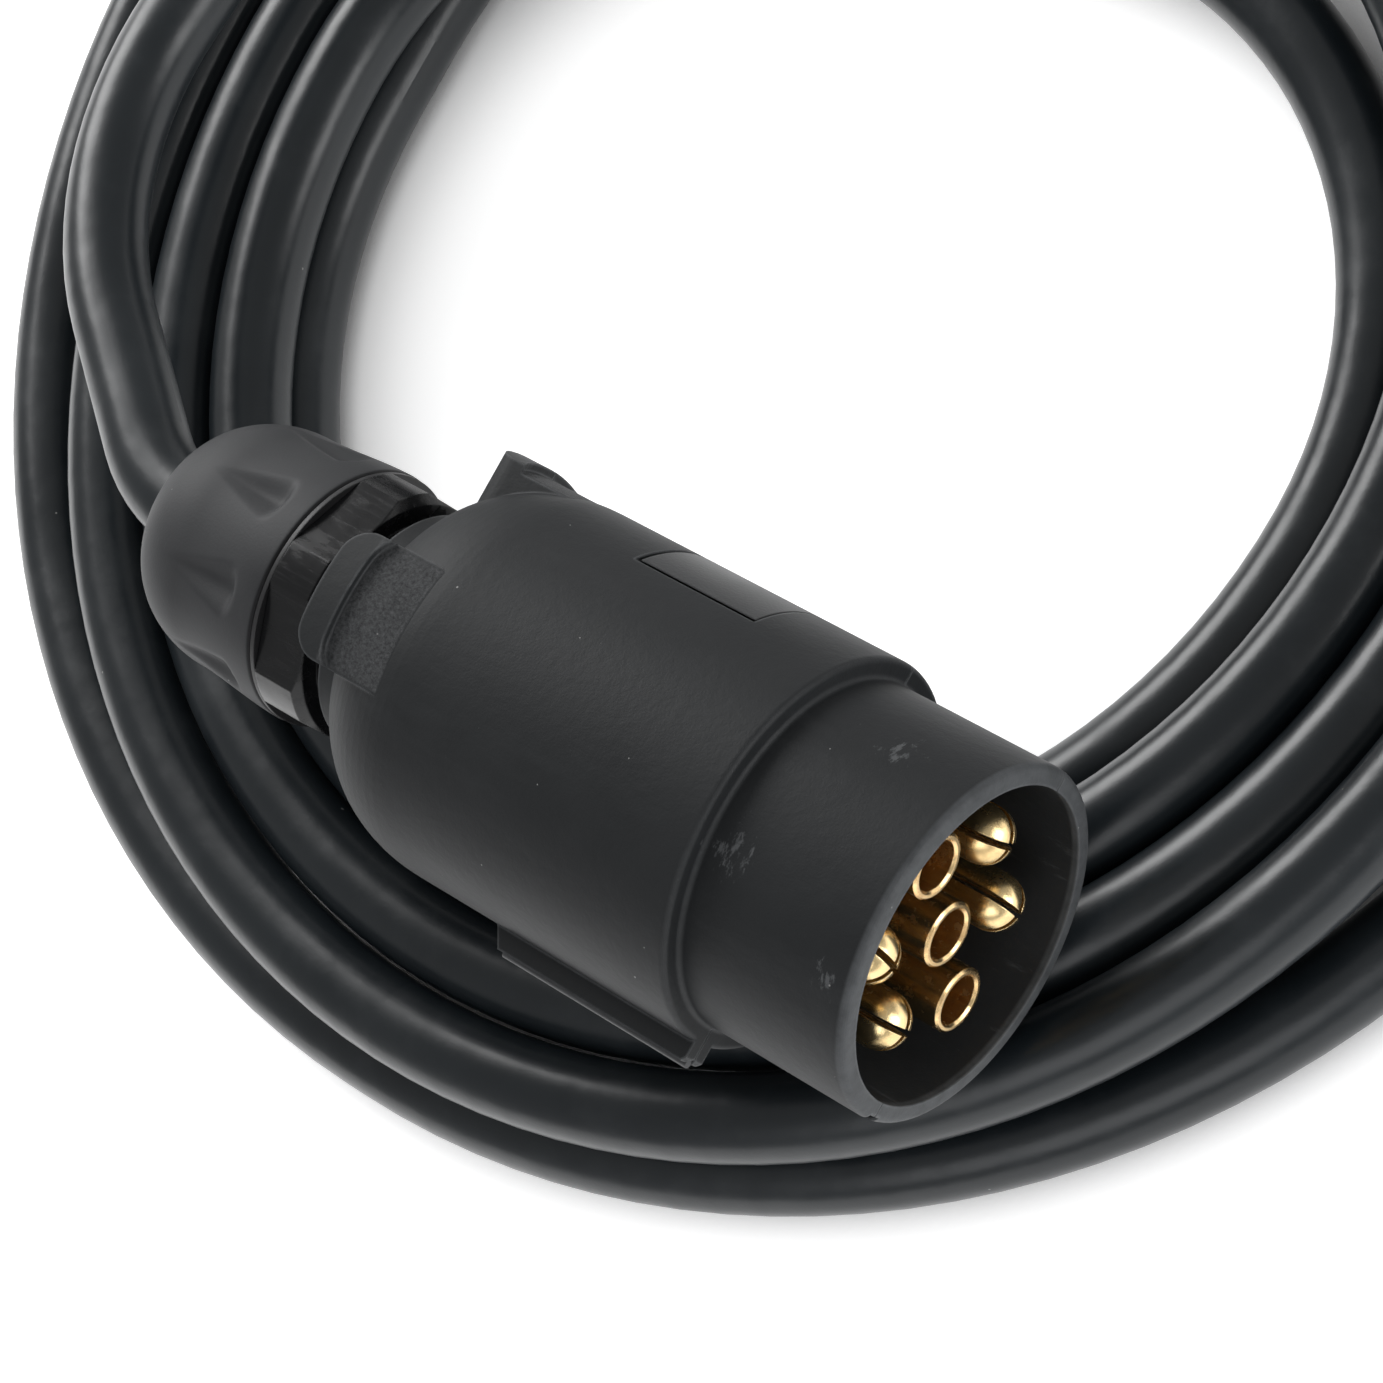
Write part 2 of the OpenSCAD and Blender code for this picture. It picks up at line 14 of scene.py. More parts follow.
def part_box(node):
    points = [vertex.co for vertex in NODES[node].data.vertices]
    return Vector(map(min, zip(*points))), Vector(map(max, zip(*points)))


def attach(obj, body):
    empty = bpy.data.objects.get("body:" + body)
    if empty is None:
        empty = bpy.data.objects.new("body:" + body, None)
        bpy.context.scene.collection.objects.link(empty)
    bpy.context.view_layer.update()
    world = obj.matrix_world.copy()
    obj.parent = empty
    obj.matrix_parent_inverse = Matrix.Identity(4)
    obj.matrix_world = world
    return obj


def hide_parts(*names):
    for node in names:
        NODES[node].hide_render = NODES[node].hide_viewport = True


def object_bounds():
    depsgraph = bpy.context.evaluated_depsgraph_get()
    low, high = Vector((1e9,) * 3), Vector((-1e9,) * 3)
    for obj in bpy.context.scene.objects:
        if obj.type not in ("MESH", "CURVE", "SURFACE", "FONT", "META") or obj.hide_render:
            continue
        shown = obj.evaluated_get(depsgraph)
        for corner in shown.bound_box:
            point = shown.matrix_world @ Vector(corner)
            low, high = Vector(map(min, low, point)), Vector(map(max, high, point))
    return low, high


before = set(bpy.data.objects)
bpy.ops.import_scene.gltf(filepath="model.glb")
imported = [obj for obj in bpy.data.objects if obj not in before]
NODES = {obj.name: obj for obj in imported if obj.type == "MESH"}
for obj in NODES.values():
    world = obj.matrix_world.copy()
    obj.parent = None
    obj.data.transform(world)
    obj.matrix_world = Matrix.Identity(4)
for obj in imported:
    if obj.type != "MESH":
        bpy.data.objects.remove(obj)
CAD_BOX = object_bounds()
MM = 0.001

# ---- Shell: places of its marks ----
SHELL_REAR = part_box("shell_cover")[0].x
GRIP_FROM = SHELL_REAR + 6.6 * MM
GRIP_TO = SHELL_REAR + 13.8 * MM
GRIP_HALF_WIDTH = 6.6 * MM
GRIP_FLOOR = 18 * MM  # the grips' floors lie farther than this from the plug's axis
SHROUD_INSIDE = 16.9 * MM  # just outside the radius of the shroud's bore
SCRAPES_TO = -20 * MM  # the scrapes inside the shroud end here, short of the carrier
SCUFFS = [((-17, -2.8, 18.5), 4.5), ((-9.5, 12.8, 13.7), 4), ((-3, -9, 16.4), 3)]  # centre and reach in mm

# ---- Gland nut ----
NUT_EDGE = 0.45 * MM  # radius of the skirt's front edge
NUT_AROUND = 384  # points around the nut
FLUTES = 8
FLUTE_HALF_WIDTH = 3.3 * MM
FLUTE_DEPTH = 1.15 * MM

# ---- Copper strands ----
WIRE_SHARE = 0.2  # a wire's radius, as a share of its bundle's
WIRE_LAYERS = [(0.0, 1), (0.4, 6), (0.79, 12)]  # place, as a share of the bundle's radius, and count
WIRE_TWIST = 1.3  # radians from one end of a bundle to the other
WIRE_UNEVEN = 0.1  # the most that a wire may fall short, as a share of its bundle's length

# ---- Insulation of the seven cores ----
CORE_COLORS = {
    "core_yellow": (0.72, 0.50, 0.03),
    "core_blue": (0.03, 0.10, 0.42),
    "core_white": (0.74, 0.73, 0.69),
    "core_green": (0.03, 0.24, 0.07),
    "core_brown": (0.14, 0.06, 0.03),
    "core_red": (0.50, 0.03, 0.025),
    "core_black": (0.018, 0.018, 0.02),
}


# ---- Node helpers ----

class Graph:
    """Short calls for building one material's nodes. A value is a number or a (node, output) pair."""

    def __init__(self, name):
        self.material = bpy.data.materials.new(name)
        self.material.use_nodes = True
        self.tree = self.material.node_tree
        self.tree.nodes.clear()
        self.output = self.node("ShaderNodeOutputMaterial")
        self.shader = self.node("ShaderNodeBsdfPrincipled")
        self.link(self.shader, "BSDF", self.output, "Surface")
        self.place = self.node("ShaderNodeTexCoord")
        self.xyz = self.node("ShaderNodeSeparateXYZ")
        self.link(self.place, "Object", self.xyz, "Vector")

    def node(self, kind, **settings):
        made = self.tree.nodes.new(kind)
        for key, setting in settings.items():
            setattr(made, key, setting)
        return made

    def link(self, source, out, target, into):
        self.tree.links.new(source.outputs[out], target.inputs[into])

    def feed(self, node, into, value):
        """Links a (node, output) pair into an input, or sets the input to a plain value."""
        if isinstance(value, tuple) and hasattr(value[0], "outputs"):
            self.link(value[0], value[1], node, into)
        else:
            node.inputs[into].default_value = value

    def math(self, operation, *values):
        made = self.node("ShaderNodeMath", operation=operation)
        for i, value in enumerate(values):
            self.feed(made, i, value)
        return made, 0

    def times(self, a, b):
        return self.math("MULTIPLY", a, b)

    def plus(self, a, b):
        return self.math("ADD", a, b)

    def strongest(self, masks):
        """The highest of several masks at each point."""
        total = masks[0]
        for mask in masks[1:]:
            total = self.math("MAXIMUM", total, mask)
        return total

    def scaled(self, factors):
        """Object coordinates in metres, times one factor per axis."""
        made = self.node("ShaderNodeMapping")
        made.inputs["Scale"].default_value = factors
        self.link(self.place, "Object", made, "Vector")
        return made

    def noise(self, scale, detail, rough, stretch=(1, 1, 1)):
        """Noise with about scale features a metre."""
        made = self.node("ShaderNodeTexNoise")
        self.link(self.scaled(tuple(scale * s for s in stretch)), "Vector", made, "Vector")
        made.inputs["Scale"].default_value = 1.0
        made.inputs["Detail"].default_value = detail
        made.inputs["Roughness"].default_value = rough
        return made, "Fac"

    def ramp(self, value, low, high, start=0.0, end=1.0):
        """Maps value from low..high to start..end, clamped."""
        made = self.node("ShaderNodeMapRange", clamp=True)
        self.feed(made, "Value", value)
        for key, number in (("From Min", low), ("From Max", high), ("To Min", start), ("To Max", end)):
            made.inputs[key].default_value = number
        return made, "Result"

    def mix(self, share, a, b):
        """Goes from a to b as share goes from 0 to 1; a and b are colours or (node, output) pairs."""
        made = self.node("ShaderNodeMix", data_type="RGBA")
        self.feed(made, 0, share)
        for socket, color in ((6, a), (7, b)):
            self.feed(made, socket, color if len(color) == 2 else (*color, 1.0))
        return made, 2

    def mottled(self, value, low, high, a, b):
        """Colour a where value is under low, b where it is over high, and a blend between."""
        return self.mix(self.ramp(value, low, high), a, b)

    def laid_on(self, base, mask, strength, color):
        """The base colour, with another laid on it where the mask is 1."""
        return self.mix(self.times(mask, strength), base, color)

    def specks(self, scale, size, share):
        """Scattered dots: 1 inside a dot, 0 outside. A share of the cells hold one."""
        made = self.node("ShaderNodeTexVoronoi")
        self.link(self.scaled((scale,) * 3), "Vector", made, "Vector")
        made.inputs["Scale"].default_value = 1.0
        inside = self.math("LESS_THAN", (made, "Distance"), size)
        pick = self.node("ShaderNodeSeparateColor")
        self.link(made, "Color", pick, "Color")
        chosen = self.math("LESS_THAN", (pick, "Red"), share)
        return self.times(inside, chosen)

    def near(self, axis, low, high, soft):
        """1 where the object coordinate lies between low and high, with soft ends."""
        up = self.ramp((self.xyz, axis), low - soft, low)
        down = self.ramp((self.xyz, axis), high, high + soft, 1.0, 0.0)
        return self.times(up, down)

    def around(self, centre, reach):
        """1 at a point, falling to 0 at the given distance from it."""
        made = self.node("ShaderNodeVectorMath", operation="DISTANCE")
        self.link(self.place, "Object", made, 0)
        made.inputs[1].default_value = centre
        return self.ramp((made, "Value"), 0.0, reach, 1.0, 0.0)

    def rounded(self, radius):
        """A bevel node: normals as they would be with edges rounded to the radius."""
        made = self.node("ShaderNodeBevel", samples=4)
        made.inputs["Radius"].default_value = radius
        return made

    def sharp_edges(self, radius):
        """1 on edges sharper than the radius: where the rounded normal leaves the true one."""
        shape = self.node("ShaderNodeNewGeometry")
        turn = self.node("ShaderNodeVectorMath", operation="DOT_PRODUCT")
        self.link(self.rounded(radius), "Normal", turn, 0)
        self.link(shape, "Normal", turn, 1)
        return self.ramp((turn, "Value"), 0.88, 0.99, 1.0, 0.0)

    def surface(self, color, rough, bumps, edge=0.0, specular=0.5, metal=0.0):
        """Joins colour, roughness and (height, depth in metres) bumps to the shader.

        A radius as edge makes sharp edges look rounded.
        """
        self.feed(self.shader, "Base Color", color)
        self.feed(self.shader, "Roughness", rough)
        self.shader.inputs["Specular IOR Level"].default_value = specular
        self.shader.inputs["Metallic"].default_value = metal
        under = (self.rounded(edge), "Normal") if edge else None
        for height, depth in bumps:
            bump = self.node("ShaderNodeBump")
            bump.inputs["Distance"].default_value = depth
            self.feed(bump, "Height", height)
            if under:
                self.feed(bump, "Normal", under)
            under = (bump, "Normal")
        self.feed(self.shader, "Normal", under)
        return self.material


# ---- Materials ----

def grip_mask(g):
    """1 on the stippled floors of the finger grips: above, below and on the latch side."""
    soft = 0.3 * MM
    along = g.near("X", GRIP_FROM, GRIP_TO, soft)
    across_y = g.near("Y", -GRIP_HALF_WIDTH, GRIP_HALF_WIDTH, soft)
    across_z = g.near("Z", -GRIP_HALF_WIDTH, GRIP_HALF_WIDTH, soft)
    far_z = g.math("GREATER_THAN", g.math("ABSOLUTE", (g.xyz, "Z")), GRIP_FLOOR)
    far_y = g.math("GREATER_THAN", (g.xyz, "Y"), GRIP_FLOOR)
    floors = g.strongest([g.times(across_y, far_z), g.times(across_z, far_y)])
    return g.times(along, floors)


def scuff_mask(g):
    """1 on a few light scuffs on the shroud, broken up by noise."""
    spots = g.strongest([g.around([c * MM for c in centre], reach * MM) for centre, reach in SCUFFS])
    scratches = g.noise(620, 5, 0.75, stretch=(2, 0.8, 0.8))
    return g.ramp(g.plus(g.times(spots, 0.28), scratches), 0.70, 0.80)


def scrape_mask(g):
    """1 on scrapes along the inside of the shroud, where a socket slides."""
    off_axis = g.node("ShaderNodeVectorMath", operation="LENGTH")
    g.link(g.scaled((0, 1, 1)), "Vector", off_axis, 0)
    in_bore = g.math("LESS_THAN", (off_axis, "Value"), SHROUD_INSIDE)
    inside = g.times(in_bore, g.near("X", SCRAPES_TO, 0, 0.2 * MM))
    drag = g.ramp(g.noise(260, 5, 0.75, stretch=(0.5, 2.5, 2.5)), 0.60, 0.72)
    return g.times(inside, drag)


def lip_wear_and_light_mask(g):
    """Patchy lighter band on the shroud's lip: partly wear, partly a painted highlight where the lip faces
    the front light.
    """
    lip = g.near("X", -0.6 * MM, 1 * MM, 0.35 * MM)
    return g.times(lip, g.ramp(g.noise(420, 4, 0.7), 0.3, 0.6, start=0.5))


def edge_wear_and_highlight_mask(g):
    """Patchy wear and a painted highlight on the shell's sharp edges."""
    return g.times(g.sharp_edges(0.45 * MM), g.ramp(g.noise(300, 4, 0.7), 0.3, 0.62, start=0.45))


def shell_material():
    """Matte black moulded plastic: spark-eroded grain, stippled grips, faint scuffs and scrapes from
    handling, dust, and sharp edges and the lip lightened partly by wear and partly as a painted highlight.
    """
    g = Graph("shell_plastic")
    broad = g.noise(35, 4, 0.6)
    grain = g.noise(3800, 2, 0.6)
    orange_peel = g.noise(900, 2, 0.5)
    stipple = g.noise(2500, 4, 0.85)
    grip = grip_mask(g)
    rubbed = g.ramp(g.noise(130, 6, 0.7, stretch=(0.25, 1, 1)), 0.56, 0.74)
    # scuffs, scrapes and sharp edges get a lighter colour; on the edges it is partly wear and partly a
    # painted highlight
    marks_and_edge_highlights = g.strongest([g.times(scuff_mask(g), 0.5),
                         g.times(scrape_mask(g), 0.22),
                         g.times(edge_wear_and_highlight_mask(g), 0.8)])
    dust = g.strongest([g.specks(420, 0.05, 0.04), g.specks(900, 0.07, 0.02)])

    color = g.mottled(broad, 0.35, 0.65, (0.0130, 0.0142, 0.0153), (0.0182, 0.0196, 0.0209))
    color = g.laid_on(color, rubbed, 0.3, (0.030, 0.032, 0.034))
    color = g.laid_on(color, grip, g.ramp(stipple, 0.34, 0.74), (0.085, 0.087, 0.090))
    # the lip is lighter partly from wear and partly as painted light where it faces the front lamp
    color = g.laid_on(color, lip_wear_and_light_mask(g), 0.75, (0.070, 0.074, 0.078))
    color = g.mix(marks_and_edge_highlights, color, (0.13, 0.135, 0.14))
    color = g.laid_on(color, dust, 0.6, (0.36, 0.36, 0.35))

    rough = g.plus(g.ramp(broad, 0.3, 0.7, 0.50, 0.60), g.times(grip, 0.12))
    bumps = [(orange_peel, 0.035 * MM), (grain, 0.02 * MM), (g.times(stipple, grip), 0.16 * MM)]
    return g.surface(color, rough, bumps, edge=0.38 * MM, specular=0.2)


def smooth_plastic(name, dark, light, rough, grain, edge=0.2 * MM):
    """Moulded plastic with a fine grain and a slight change of tone."""
    g = Graph(name)
    broad = g.noise(60, 4, 0.6)
    fine = g.noise(2600, 3, 0.6)
    color = g.mottled(broad, 0.35, 0.68, dark, light)
    color = g.laid_on(color, g.specks(500, 0.06, 0.03), 0.5, (0.3, 0.3, 0.29))
    roughness = g.ramp(broad, 0.3, 0.7, rough - 0.05, rough + 0.06)
    return g.surface(color, roughness, [(fine, grain)], edge=edge)


def nut_material():
    """The nut's plastic: greyer than the shell, streaked around by wiping, with painted shade on the front
    face where it meets the gland body.
    """
    g = Graph("nut_plastic")
    broad = g.noise(80, 4, 0.6)
    grain = g.noise(3200, 3, 0.6)
    rubs = g.ramp(g.noise(420, 5, 0.7, stretch=(3.5, 1, 1)), 0.60, 0.74)
    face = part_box("gland_nut")[1].x

    color = g.mottled(broad, 0.35, 0.65, (0.028, 0.029, 0.031), (0.038, 0.039, 0.041))
    color = g.laid_on(color, rubs, 0.22, (0.065, 0.066, 0.07))
    color = g.laid_on(color, g.specks(520, 0.06, 0.06), 0.5, (0.3, 0.3, 0.3))
    # painted shade: the front face is darkened where the nut sits against the hex of the gland body
    color = g.mix(g.near("X", face - 0.25 * MM, face + MM, 0.3 * MM), color, (0.004, 0.004, 0.005))
    return g.surface(color, g.ramp(broad, 0.3, 0.7, 0.50, 0.60), [(grain, 0.02 * MM)],
                     edge=0.2 * MM, specular=0.22)


def gland_material():
    """Glossy black polyamide with fine scratches that catch the light."""
    g = Graph("gland_plastic")
    wave = g.noise(260, 2, 0.5)
    broad = g.noise(150, 5, 0.65)
    scratches = g.ramp(g.noise(500, 4, 0.7, stretch=(0.2, 3, 3)), 0.56, 0.70)
    smear = g.ramp(g.noise(220, 4, 0.65, stretch=(0.5, 1.6, 1.6)), 0.48, 0.66, 0.20, 0.42)
    color = g.laid_on((0.0060, 0.0062, 0.0068), scratches, 0.14, (0.04, 0.04, 0.042))
    rough = g.plus(smear, g.times(scratches, 0.08))
    bumps = [(wave, 0.05 * MM), (broad, 0.01 * MM), (scratches, 0.002 * MM)]
    return g.surface(color, rough, bumps, edge=0.3 * MM, specular=0.3)


def sheath_material():
    """Satin flexible vinyl: blue-black, with a faint bloom, soft waves and a few light specks."""
    g = Graph("sheath_pvc")
    broad = g.noise(22, 4, 0.6)
    wave = g.noise(55, 3, 0.5)
    fine = g.noise(1500, 3, 0.6)
    bloom = g.ramp(g.noise(70, 6, 0.68), 0.50, 0.72)
    dust = g.strongest([g.specks(160, 0.028, 0.14), g.specks(420, 0.05, 0.03)])
    color = g.mottled(broad, 0.35, 0.65, (0.0058, 0.0082, 0.0102), (0.0104, 0.0138, 0.0164))
    color = g.laid_on(color, bloom, 0.3, (0.024, 0.028, 0.031))
    color = g.laid_on(color, dust, 0.55, (0.30, 0.30, 0.29))
    rough = g.plus(g.ramp(broad, 0.3, 0.7, 0.27, 0.34), g.times(bloom, 0.10))
    return g.surface(color, rough, [(wave, 0.35 * MM), (fine, 0.012 * MM)], specular=0.42)


def turned_metal(name, base, warm, tarnish, rough):
    """Turned metal: tool rings along X, warmer in patches, with darker and duller stains."""
    g = Graph(name)
    rings = g.node("ShaderNodeTexNoise", noise_dimensions="1D")
    g.feed(rings, "W", g.times((g.xyz, "X"), 9000))
    rings.inputs["Detail"].default_value = 3
    patch = g.noise(330, 5, 0.65)
    pits = g.noise(5200, 2, 0.6)
    stain = g.ramp(g.noise(700, 5, 0.7), 0.54, 0.72)
    color = g.laid_on(g.mottled(patch, 0.35, 0.65, base, warm), stain, 0.35, tarnish)
    roughness = g.plus(g.ramp(patch, 0.3, 0.7, rough - 0.05, rough + 0.07), g.times(stain, 0.12))
    bumps = [((rings, "Fac"), 0.005 * MM), (pits, 0.003 * MM)]
    return g.surface(color, roughness, bumps, edge=0.12 * MM, metal=1.0)


def rubber_material():
    """Soft black rubber with a dusty bloom."""
    g = Graph("seal_rubber")
    broad = g.noise(200, 4, 0.6)
    fine = g.noise(2600, 3, 0.6)
    color = g.mottled(broad, 0.4, 0.66, (0.018, 0.018, 0.019), (0.05, 0.05, 0.05))
    return g.surface(color, g.ramp(broad, 0.3, 0.7, 0.62, 0.78), [(fine, 0.03 * MM)], edge=0.2 * MM)


def core_material(name, color):
    """Coloured vinyl of one core, a little darker in patches, with a soft shine."""
    g = Graph(name)
    broad = g.noise(300, 4, 0.6)
    fine = g.noise(2500, 2, 0.5)
    dark = tuple(c * 0.72 for c in color)
    tone = g.mottled(broad, 0.35, 0.68, dark, color)
    return g.surface(tone, g.ramp(broad, 0.3, 0.7, 0.30, 0.42), [(fine, 0.012 * MM)])


def floor_material():
    """White paper that glows as painted light so that it stays white, with the glow dimmed into painted shade
    in the gaps under the cable.
    """
    g = Graph("floor_paper")
    fine = g.noise(900, 2, 0.5)
    color = g.mix(g.noise(3, 3, 0.5), (0.90, 0.90, 0.90), (0.93, 0.93, 0.93))
    # painted light: the floor glows to stay white; occlusion dims the glow into painted shade in the gaps
    # under the cable
    painted_glow_ao = g.node("ShaderNodeAmbientOcclusion", samples=8)
    painted_glow_ao.inputs["Distance"].default_value = 30 * MM
    g.shader.inputs["Emission Color"].default_value = (1, 1, 1, 1)
    g.feed(g.shader, "Emission Strength", g.ramp((painted_glow_ao, "AO"), 0.25, 0.8, 0.0, 0.75))
    return g.surface(color, 0.9, [(fine, 0.02 * MM)])


def make_materials():
    """Every material, by the node or the start of a node's name that wears it."""
    shell = shell_material()
    carrier = smooth_plastic(
        "carrier_plastic", (0.010, 0.010, 0.011), (0.018, 0.018, 0.019), 0.5, 0.03 * MM)
    worn = {
        "shell_base": shell,
        "shell_cover": shell,
        "living_hinge": smooth_plastic(
            "hinge_plastic", (0.028, 0.029, 0.031), (0.06, 0.061, 0.064), 0.5, 0.02 * MM),
        "latch_tongue": smooth_plastic(
            "latch_plastic", (0.015, 0.016, 0.017), (0.024, 0.025, 0.027), 0.5, 0.03 * MM, edge=0.3 * MM),
        "contact_carrier": carrier,
        "carrier_plate": carrier,
        "gland_body": gland_material(),
        "gland_nut": nut_material(),
        "slip_washer": smooth_plastic(
            "washer_plastic", (0.008, 0.008, 0.009), (0.014, 0.014, 0.015), 0.45, 0.01 * MM),
        "clamp_ring": smooth_plastic(
            "claw_plastic", (0.20, 0.20, 0.21), (0.27, 0.27, 0.28), 0.38, 0.01 * MM),
        "cable_seal": rubber_material(),
        "cable_sheath": sheath_material(),
        "pin_contact": turned_metal(
            "pin_brass", (0.88, 0.68, 0.36), (0.80, 0.58, 0.28), (0.44, 0.29, 0.13), 0.24),
        "tube_contact": turned_metal(
            "tube_brass", (0.88, 0.64, 0.33), (0.80, 0.53, 0.25), (0.44, 0.27, 0.13), 0.22),
        "terminal_screws": turned_metal(
            "screw_steel", (0.62, 0.62, 0.63), (0.5, 0.5, 0.52), (0.25, 0.25, 0.26), 0.3),
        "core_strands": turned_metal(
            "bare_copper", (0.80, 0.36, 0.20), (0.66, 0.26, 0.13), (0.28, 0.10, 0.06), 0.26),
    }
    worn.update({name: core_material(name, color) for name, color in CORE_COLORS.items()})
    return worn


def wear(obj, material):
    """Gives an object one material in place of its own."""
    obj.data.materials.clear()
    obj.data.materials.append(material)


def dress_frame(worn):
    """Gives each CAD node the material with the longest matching name."""
    for name, node in NODES.items():
        match = max((key for key in worn if name.startswith(key)), key=len)
        wear(node, worn[match])


# ---- Pieces ----

def new_piece(name, bm, material, body):
    """Turns a bmesh into a smooth-shaded piece that rides on a body."""
    mesh = bpy.data.meshes.new(name)
    bmesh.ops.recalc_face_normals(bm, faces=bm.faces)
    bm.to_mesh(mesh)
    bm.free()
    for face in mesh.polygons:
        face.use_smooth = True
    obj = bpy.data.objects.new(name, mesh)
    bpy.context.scene.collection.objects.link(obj)
    wear(obj, material)
    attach(obj, body)
    return obj


def lathe(profile, around, depth_at):
    """A closed ring about X. profile lists (x, r, fluted); a fluted point is cut by depth_at(x, r, angle)."""
    bm = bmesh.new()
    rings = []
    for x, r, fluted in profile:
        ring = []
        for i in range(around):
            angle = 2 * math.pi * i / around
            radius = r - depth_at(x, r, angle) if fluted else r
            ring.append(bm.verts.new((x, radius * math.cos(angle), radius * math.sin(angle))))
        rings.append(ring)
    for a, b in zip(rings, rings[1:] + rings[:1]):
        for i in range(around):
            j = (i + 1) % around
            bm.faces.new((a[i], a[j], b[j], b[i]))
    return bm


def smooth_step(t):
    """An eased rise from 0 to 1, clamped at both ends."""
    t = min(max(t, 0.0), 1.0)
    return t * t * (3 - 2 * t)


def flute_depth(x, r, angle, front):
    """Depth of the flutes: a point at the rear that widens into a rounded pocket near the skirt."""
    start, deepest, tip = front - 3.2 * MM, front - 4.9 * MM, front - 14.5 * MM
    if not tip < x < start:
        return 0.0
    if x < deepest:
        grow = (x - tip) / (deepest - tip)
        width = FLUTE_HALF_WIDTH * grow ** 0.85
        depth = FLUTE_DEPTH * smooth_step(grow)
    else:
        close = (start - x) / (start - deepest)
        width = FLUTE_HALF_WIDTH * math.sqrt(max(0.0, 1 - (1 - close) ** 2))
        depth = FLUTE_DEPTH * smooth_step(close * 1.25)
    step = 2 * math.pi / FLUTES
    across = abs((angle % step) - step / 2) * r
    return depth * (1 - smooth_step(across / width)) if across < width else 0.0


def nut_outside(front, rear, skirt_r):
    """The nut's outline from its front edge over the fluted skirt and the dome to the rear."""
    outline = []
    for degrees in range(90, -1, -18):
        a = math.radians(degrees)
        x = front - NUT_EDGE * (1 - math.sin(a))
        outline.append((x, skirt_r - NUT_EDGE * (1 - math.cos(a)), False))
    skirt_front, dome_start = front - NUT_EDGE, rear + 10.4 * MM
    shoulder_r, crown_r, dome_height = skirt_r - 0.7 * MM, 5.4 * MM, 10.55 * MM
    skirt_steps, dome_steps, dome_turn = 34, 30, 78
    for i in range(1, skirt_steps + 1):
        t = i / skirt_steps
        x = skirt_front + (dome_start - skirt_front) * t
        outline.append((x, skirt_r + (shoulder_r - skirt_r) * smooth_step(t), True))
    for i in range(1, dome_steps + 1):
        a = math.radians(dome_turn * i / dome_steps)
        x = dome_start - dome_height * math.sin(a)
        outline.append((x, crown_r + (shoulder_r - crown_r) * math.cos(a), True))
    return outline


def nut_inside(front, rear, skirt_r):
    """The nut's outline from its rear hole forward, over the claws' cone and the thread, to its face."""
    hole_r, thread_r, chamfer = 7.3 * MM, 12.36 * MM, 0.25 * MM
    cone_rear, cone_front, thread_run, thread_steps = 8.2 * MM, 11 * MM, 9.9 * MM, 12
    outline = [(rear, hole_r + chamfer), (rear + chamfer, hole_r), (rear + 3.7 * MM, hole_r),
               (rear + 3.9 * MM, cone_rear), (front - 10 * MM, cone_front)]
    outline += [(front - thread_run * (1 - i / thread_steps), thread_r) for i in range(thread_steps)]
    outline += [(front, thread_r + 0.2 * MM), (front, skirt_r - NUT_EDGE - 0.3 * MM)]
    return [(x, r, False) for x, r in outline]


def build_nut(material):
    """The gland's dome nut, with soft teardrop flutes."""
    low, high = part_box("gland_nut")
    front, rear, skirt_r = high.x, low.x, high.y
    profile = nut_outside(front, rear, skirt_r) + nut_inside(front, rear, skirt_r)
    bm = lathe(profile, NUT_AROUND, lambda x, r, angle: flute_depth(x, r, angle, front))
    nut = new_piece("nut_moulding", bm, material, "nut")
    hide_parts("gland_nut")


def loose_parts(node):
    """Start, end and radius of each straight rod in a CAD node, in a steady order."""
    bm = bmesh.new()
    bm.from_mesh(NODES[node].data)
    bmesh.ops.remove_doubles(bm, verts=bm.verts, dist=1e-6)
    bm.verts.ensure_lookup_table()
    seen, rods = set(), []
    for first in bm.verts:
        if first.index in seen:
            continue
        stack, part = [first], []
        seen.add(first.index)
        while stack:
            v = stack.pop()
            part.append(v.co.copy())
            for e in v.link_edges:
                other = e.other_vert(v)
                if other.index not in seen:
                    seen.add(other.index)
                    stack.append(other)
        rods.append(rod_of(part))
    bm.free()
    return sorted(rods, key=lambda rod: tuple(round(c, 5) for c in rod[0]))


def rod_of(points):
    """A rod's start, end and radius, from the points of its two end discs."""
    middle = sum(points, Vector()) / len(points)
    far = max(points, key=lambda p: (p - middle).length)
    other = max(points, key=lambda p: (p - far).length)
    rough = (far - other).normalized()
    near_end = 0.3 * max(abs((p - middle).dot(rough)) for p in points)
    top = [p for p in points if (p - middle).dot(rough) > near_end]
    low = [p for p in points if (p - middle).dot(rough) < -near_end]
    a = sum(low, Vector()) / len(low)
    b = sum(top, Vector()) / len(top)
    axis = (b - a).normalized()
    heights = [(p - middle).dot(axis) for p in points]
    radius = max(((p - middle) - axis * (p - middle).dot(axis)).length for p in points)
    return middle + axis * min(heights), middle + axis * max(heights), radius


def strand_bundle(bm, start, end, radius, phase, rng):
    """Twisted copper wires that fill a rod, with slightly uneven ends."""
    axis = (end - start).normalized()
    side = axis.orthogonal().normalized()
    axes = (axis, side, axis.cross(side))
    length = (end - start).length
    twist = WIRE_TWIST / length
    for share, count in WIRE_LAYERS:
        for k in range(count):
            turned = phase + 2 * math.pi * k / count
            reach = length * (1 - WIRE_UNEVEN * rng.random())
            add_wire(bm, start, axes, radius * share, turned, reach, radius * WIRE_SHARE, twist)


